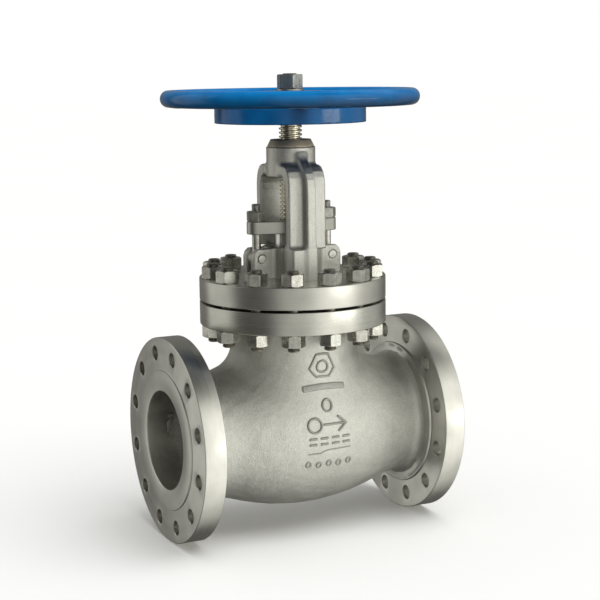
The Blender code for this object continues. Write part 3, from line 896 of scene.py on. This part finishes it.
for k, (cx, cy) in enumerate(stud_spots):
    number = f"{k + 1:02d}"
    helix_rod(f"stud_{number}", [(141.0, 7.6, False), (142.6, 9.4, True), (150.0, 9.4, False),
                                 (256.0, 9.4, True), (262.6, 9.4, False), (264.0, 7.9, False)],
              2.54, 1.1, STUDS_STEEL, "valve_body", (f"bonnet_stud_{number}",),
              segments=40, flat=0.12, row=0.32, at=(cx, cy, 0.0))
    nut(f"lower_nut_{number}", HEAVY_NUT_AF, HEAVY_NUT_H, 9.55, LOWER_NUT_TURN[k],
        (cx, cy, 167.2 - HEAVY_NUT_H), NUTS, "valve_body", flip=True, washer=0.4)
    nut(f"upper_nut_{number}", HEAVY_NUT_AF, HEAVY_NUT_H, 9.55, UPPER_NUT_TURN[k],
        (cx, cy, 240.8), NUTS, "valve_body", (f"bonnet_nut_{number}",), washer=0.4)

# Eyebolts, pins and gland nuts
for side, tag, turn in ((-1, "left", 17), (1, "right", 45)):
    x0 = side * GLAND_BOLT_X

    def eye_solid(x, y, z):
        dx, dz = x - x0, z - EYE_PIN_Z
        ring = np.sqrt(dx * dx + dz * dz)
        eye = common(ring - 13.0, np.abs(y) - 8.0, 1.5)
        neck_rod = np.maximum(np.sqrt(dx * dx + y * y) - 7.0, np.maximum(-dz, dz - 24.0))
        return carve(merge(eye, neck_rod, 3.0), ring - 6.45, 0.5)

    points, faces = surface_net(eye_solid, (x0 - 15, -10, 256), (x0 + 15, 10, 298), 0.9)
    add_mesh(f"eye_{tag}", points, faces, GLAND_NUTS, "valve_body",
             (f"eyebolt_{tag}",), sharp=None)
    helix_rod(f"eyebolt_shank_{tag}", [(290.0, 7.0, False), (318.0, 7.1, True),
                                       (353.4, 7.1, False), (355.0, 5.6, False)],
              25.4 / 12, 0.9, GLAND_NUTS, "valve_body", segments=36, flat=0.12,
              row=0.26, at=(x0, 0.0, 0.0))
    turned(f"pin_{tag}", [(0.0, -20.8, 0), (6.25, -20.8, 0.3), (6.25, 20.8, 0.3), (0.0, 20.8, 0)],
           40, PIN, "valve_body", (f"eyebolt_pin_{tag}",), axis="Y",
           at=(x0, 0.0, EYE_PIN_Z), soft=0.6)
    nut(f"gland_nut_piece_{tag}", 27.0, 15.5, 7.3, turn, (x0, 0.0, 328.5), GLAND_NUTS,
        f"gland_nut_{tag}_body", (f"gland_nut_{tag}",), washer=0.35)


# ----------------------------------------------------------- gland and follower

def gland_solid(x, y, z):
    """Flat oval gland flange with rounded ends about its two bolts."""
    ax, ay = np.abs(x), np.abs(y)
    span = GLAND_BOLT_X
    tilt = math.asin((34.0 - 15.0) / span)
    edge = ax * math.sin(tilt) + ay * math.cos(tilt) - 34.0
    end = np.sqrt((ax - span) ** 2 + y * y) - 15.0
    middle = np.sqrt(x * x + y * y) - 34.0
    along = ax * math.cos(tilt) - ay * math.sin(tilt)
    outline = np.where(along > span * math.cos(tilt), end, np.where(along < 0, middle, edge))
    plate = common(outline, slab(z, 308.6, 328.2), 1.2)
    plate = carve(plate, np.sqrt((ax - span) ** 2 + y * y) - 8.1, 0.6)
    return carve(plate, np.sqrt(x * x + y * y) - 19.0, 0.8)


points, faces = surface_net(gland_solid, (-80, -38, 305), (80, 38, 332), 1.1)
add_mesh("gland_plate", points, faces, GLAND, "gland", ("gland_flange",),
         sharp=None)
turned("follower_sleeve", [(18.4, 268.0), (27.2, 268.0), (27.2, 308.3), (18.4, 308.3)], 96, TRIM,
       "gland", ("gland_follower",), soft=0.8)
for k in range(5):
    low = 221.3 + 9.3 * k
    turned(f"packing_{k + 1}", [(18.3, low), (27.6, low), (27.6, low + 9.0), (18.3, low + 9.0)],
           64, GRAPHITE, "valve_body", (f"packing_ring_{k + 1}",), soft=0.8)

# Seat, disc and their small parts
turned("seat", [(73.0, -9.3, 1.0), (80.0, -9.3, 0.8), (80.0, 10.3, 0.3), (84.0, 10.3, 0.5),
                (84.0, 16.0, 0.8), (78.0, 16.0, 0.4), (73.0, 11.0, 0.4)], 128, TRIM,
       "valve_body", ("seat_ring",), soft=0.5)
turned("disc_piece", [(0.0, 9.0, 0), (70.0, 9.0, 1.0), (80.0, 19.0, 0.8), (80.0, 30.0, 2.0),
                      (60.0, 34.0, 6.0), (38.0, 42.0, 6.0), (36.0, 48.0, 4.0),
                      (36.0, 72.0, 1.0), (28.3, 72.0, 0.6), (28.3, 36.0, 0.6), (0.0, 36.0, 0)],
       128, TRIM, "disc_carrier", ("disc",), soft=0.5)
turned("disc_nut_piece", [(18.4, 52.6), (28.0, 52.6), (28.0, 72.3), (34.0, 72.3), (34.0, 82.0),
                          (31.0, 84.0), (18.4, 84.0)], 72, STEM, "disc_carrier",
       ("disc_nut",), soft=0.5)
turned("backseat", [(20.5, 177.5), (28.0, 177.5), (28.0, 200.0), (18.4, 200.0), (18.4, 179.6)],
       72, TRIM, "valve_body", ("backseat_bushing",), soft=0.4)

# Stem: head, backseat collar, trapezoidal thread and the wheel seat
helix_rod("stem_rod", [(36.4, 23.0, False), (38.4, 25.0, False), (52.0, 25.0, False),
                       (52.2, 17.9, False), (118.0, 17.9, False), (122.0, 24.0, False),
                       (128.0, 24.0, False), (132.7, 17.9, False), (322.0, 17.9, False),
                       (324.0, 17.95, True), (478.8, 17.95, False), (479.0, 15.0, False),
                       (521.0, 15.0, False), (521.2, 11.9, True), (552.2, 11.9, False),
                       (554.0, 9.6, False)],
          6.35, 3.1, STEM, "stem_and_wheel", ("stem",), segments=72, flat=0.38,
          row=0.45)
turned("stem_nut", [(18.4, 397.0, 0.8), (26.0, 397.0, 0.5), (26.0, 442.0, 0.0),
                    (36.4, 442.0, 0.4), (36.4, 443.0, 0.6), (31.5, 453.0, 0.8),
                    (18.4, 453.0, 0.8)], 96, BRONZE, "valve_body", ("yoke_bushing",),
       soft=0.5)


# ------------------------------------------------------------------ handwheel

PAN = [(15.3, 479.3), (36.0, 479.3), (36.0, 514.0), (66.0, 514.0), (72.0, 498.0), (109.5, 498.0),
       (109.5, 479.0), (117.5, 479.0), (117.5, 503.0), (114.0, 506.0), (81.0, 506.0),
       (75.0, 522.0), (72.0, 525.0), (15.3, 525.0)]


def wheel_solid(x, y, z):
    """Dished wheel: oval rim, five flat spokes and a pan with a deep skirt."""
    across = np.sqrt(x * x + y * y)
    pan = polygon_field([(r, h) for r, h in PAN], across, z)
    mid = WHEEL_R - RIM_HALF_W
    u, v = (across - mid) / RIM_HALF_W, (z - RIM_Z) / RIM_HALF_H
    reach = np.sqrt(u * u + v * v)
    rim = (reach - 1.0) * 12.4
    angle = np.arctan2(y, x)
    step = math.tau / 5
    local = np.mod(angle - math.pi + step / 2, step) - step / 2
    along, side = across * np.cos(local), np.abs(across * np.sin(local))
    width = 13.0 - (along - 73.0) * 0.027
    spoke = common(side - width, slab(z, 507.5, 517.0), 3.2)
    spoke = np.maximum(spoke, slab(along, 72.0, 186.0))
    wheel = merge(pan, spoke, 6.0)
    wheel = merge(wheel, rim, 5.0)
    key = np.maximum(np.maximum(slab(x, 10.0, 19.0), np.abs(y) - 4.2), z - 518.0)
    return np.maximum(wheel, -key)


points, faces = surface_net(wheel_solid, (-203.0, -203.0, 476.0), (203.0, 203.0, 533.0), 1.7)
add_mesh("wheel_casting", points, faces, PAINT, "stem_and_wheel", ("handwheel",),
         sharp=None)
turned("blank_disc", [(16.0, 525.3), (56.5, 525.3), (56.5, 527.0), (16.0, 527.0)], 128, BARE_DISC,
       "stem_and_wheel", ("wheel_disc",), soft=0.4)
turned("plain_washer", [(12.6, 527.3), (21.5, 527.3), (21.5, 530.3), (12.6, 530.3)], 72,
       WHEEL_NUT, "stem_and_wheel", ("wheel_washer",), soft=0.5)
nut("top_nut", 36.0, 22.0, 12.0, 18, (0.0, 0.0, 530.6), WHEEL_NUT, "stem_and_wheel",
    ("wheel_nut",), both=True)
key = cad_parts["handwheel_key"]
key.data.materials.clear()
key.data.materials.append(WHEEL_NUT)


# ------------------------------------------------------- camera, lights, floor

AZIMUTH, ELEVATION, ROLL = -0.4582, 0.1552, -0.0128
DISTANCE = 2.356
LENS_MM, SENSOR_MM = 89.33, 36.0
TARGET = Vector((0.0128, 0.0, 0.199))
back = Vector((math.sin(AZIMUTH) * math.cos(ELEVATION), -math.cos(AZIMUTH) * math.cos(ELEVATION),
               math.sin(ELEVATION)))
right = Vector((math.cos(AZIMUTH), math.sin(AZIMUTH), 0.0))
up = back.cross(right)
turn_c, turn_s = math.cos(ROLL), math.sin(ROLL)
right_r = right * turn_c + up * turn_s
up_r = up * turn_c - right * turn_s
camera = bpy.data.objects.new("camera", bpy.data.cameras.new("camera"))
bpy.context.scene.collection.objects.link(camera)
camera.data.lens = LENS_MM
camera.data.sensor_width = SENSOR_MM
camera.data.clip_end = 50.0
camera.matrix_world = Matrix.Translation(TARGET + back * DISTANCE) @ Matrix(
    (right_r, up_r, back)).transposed().to_4x4()
bpy.context.scene.camera = camera


SOFT_TINT = (1.0, 1.0, 0.96, 1.0)
GLOSSY_TINT = (1.0, 1.0, 0.925, 1.0)
WHITE = (1.0, 1.0, 1.0, 1.0)
ROOM_GLOW = 0.09
SKY_ABOVE, SKY_BELOW = 0.5, 0.08


class Sky:
    """Studio surround: soft boxes described by their bearing and height round the object."""

    def __init__(self, name):
        self.world = bpy.data.worlds.new(name)
        self.world.use_nodes = True
        self.tree = self.world.node_tree
        self.tree.nodes.clear()
        coords = self.tree.nodes.new("ShaderNodeTexCoord")
        split = self.tree.nodes.new("ShaderNodeSeparateXYZ")
        self.tree.links.new(coords.outputs["Generated"], split.inputs[0])
        x, y, z = split.outputs
        aside = self.math("ADD", self.math("MULTIPLY", x, right.x), self.math("MULTIPLY", y, right.y))
        toward = self.math("SUBTRACT", self.math("MULTIPLY", x, right.y),
                           self.math("MULTIPLY", y, right.x))
        self.bearing = self.math("MULTIPLY", self.math("ARCTAN2", aside, toward),
                                 180.0 / math.pi)
        self.height = self.math("MULTIPLY", self.math("ARCSINE", z), 180.0 / math.pi)

    def math(self, operation, a, b=0.0):
        node = self.tree.nodes.new("ShaderNodeMath")
        node.operation = operation
        for socket, value in zip(node.inputs, (a, b)):
            if isinstance(value, (int, float)):
                socket.default_value = value
            else:
                self.tree.links.new(value, socket)
        return node.outputs[0]

    def step(self, value, edge, soft):
        node = self.tree.nodes.new("ShaderNodeMapRange")
        node.interpolation_type = "SMOOTHSTEP"
        node.inputs["From Min"].default_value = edge - soft
        node.inputs["From Max"].default_value = edge + soft
        self.tree.links.new(value, node.inputs["Value"])
        return node.outputs["Result"]

    def band(self, value, low, high, soft_low, soft_high):
        fall = self.math("SUBTRACT", 1.0, self.step(value, high, soft_high))
        return self.math("MULTIPLY", self.step(value, low, soft_low), fall)

    def box(self, strength, bearing, height):
        """A soft box between two bearings and two heights, each (low, high, soft, soft)."""
        turned_round = self.math("SUBTRACT", self.bearing, sum(bearing[:2]) / 2)
        wrapped = self.math("SUBTRACT", self.math("MODULO", self.math("ADD", turned_round, 540.0),
                                                  360.0), 180.0)
        half = (bearing[1] - bearing[0]) / 2
        wide = self.band(wrapped, -half, half, bearing[2], bearing[3])
        tall = self.band(self.height, *height)
        return self.math("MULTIPLY", self.math("MULTIPLY", wide, tall), strength)

    def output(self, glossy, diffuse, camera_value):
        paths = self.tree.nodes.new("ShaderNodeLightPath")
        shaders = []
        for value, tint in ((diffuse, SOFT_TINT), (glossy, GLOSSY_TINT), (camera_value, WHITE)):
            shader = self.tree.nodes.new("ShaderNodeBackground")
            shader.inputs["Color"].default_value = tint
            if isinstance(value, (int, float)):
                shader.inputs["Strength"].default_value = value
            else:
                self.tree.links.new(value, shader.inputs["Strength"])
            shaders.append(shader.outputs[0])
        last = shaders[0]
        for flag, shader in (("Is Glossy Ray", shaders[1]), ("Is Camera Ray", shaders[2])):
            mix = self.tree.nodes.new("ShaderNodeMixShader")
            self.tree.links.new(paths.outputs[flag], mix.inputs[0])
            self.tree.links.new(last, mix.inputs[1])
            self.tree.links.new(shader, mix.inputs[2])
            last = mix.outputs[0]
        out = self.tree.nodes.new("ShaderNodeOutputWorld")
        self.tree.links.new(last, out.inputs["Surface"])


sky = Sky("studio")
bpy.context.scene.world = sky.world
boxes = [sky.box(0.52, (-18.0, 132.0, 16.0, 22.0), (-120.0, 50.0, 1.0, 16.0)),
         sky.box(0.74, (30.0, 86.0, 16.0, 14.0), (-54.0, 44.0, 18.0, 14.0)),
         sky.box(4.60, (50.0, 80.0, 1.5, 2.0), (-3.5, 0.5, 1.0, 1.0)),
         sky.box(0.50, (105.0, 155.0, 14.0, 14.0), (36.0, 74.0, 10.0, 10.0)),
         sky.box(0.66, (-126.0, -78.0, 6.0, 8.0), (-28.0, 46.0, 14.0, 14.0)),
         sky.box(0.10, (150.0, 226.0, 20.0, 14.0), (-20.0, 50.0, 12.0, 16.0)),
         sky.box(0.40, (-180.0, 180.0, 0.0, 0.0), (60.0, 200.0, 18.0, 1.0)),
         sky.box(0.22, (-180.0, 180.0, 0.0, 0.0), (-200.0, -38.0, 1.0, 20.0))]
glossy = ROOM_GLOW
for box in boxes:
    glossy = sky.math("ADD", glossy, box)
diffuse = sky.math("ADD", sky.math("MULTIPLY", sky.step(sky.height, 0.0, 15.0), SKY_ABOVE), SKY_BELOW)
sky.output(glossy, diffuse, 1.0)
bpy.context.scene.view_settings.view_transform = "Standard"


def sun_light(name, direction, strength, angle):
    data = bpy.data.lights.new(name, "SUN")
    data.energy, data.angle = strength, math.radians(angle)
    lamp = bpy.data.objects.new(name, data)
    bpy.context.scene.collection.objects.link(lamp)
    lamp.rotation_euler = Vector(direction).to_track_quat("-Z", "Y").to_euler()
    lamp.visible_glossy = False
    return lamp


sun_light("overhead", (-0.25, 0.35, -1.0), 1.75, 55.0)

FLOOR_Z, FLOOR_HALF = -0.1592, 30.0
floor_mat = Shader("floor_white")
floor_mat.put("Roughness", 0.9)
floor_mat.put("Specular IOR Level", 0.0)
floor_mat.finish(floor_mat.ramp(floor_mat.noise(900.0, 1.0, 0.4),
                                [(0.3, (0.93, 0.93, 0.93)), (0.7, (0.945, 0.945, 0.945))]))
mesh = bpy.data.meshes.new("floor")
corners = ((-1, -1), (1, -1), (1, 1), (-1, 1))
mesh.from_pydata([(a * FLOOR_HALF, b * FLOOR_HALF, FLOOR_Z) for a, b in corners], [], [(0, 1, 2, 3)])
mesh.materials.append(floor_mat.mat)
floor = bpy.data.objects.new("floor", mesh)
bpy.context.scene.collection.objects.link(floor)
floor.visible_glossy = False
floor.visible_diffuse = False
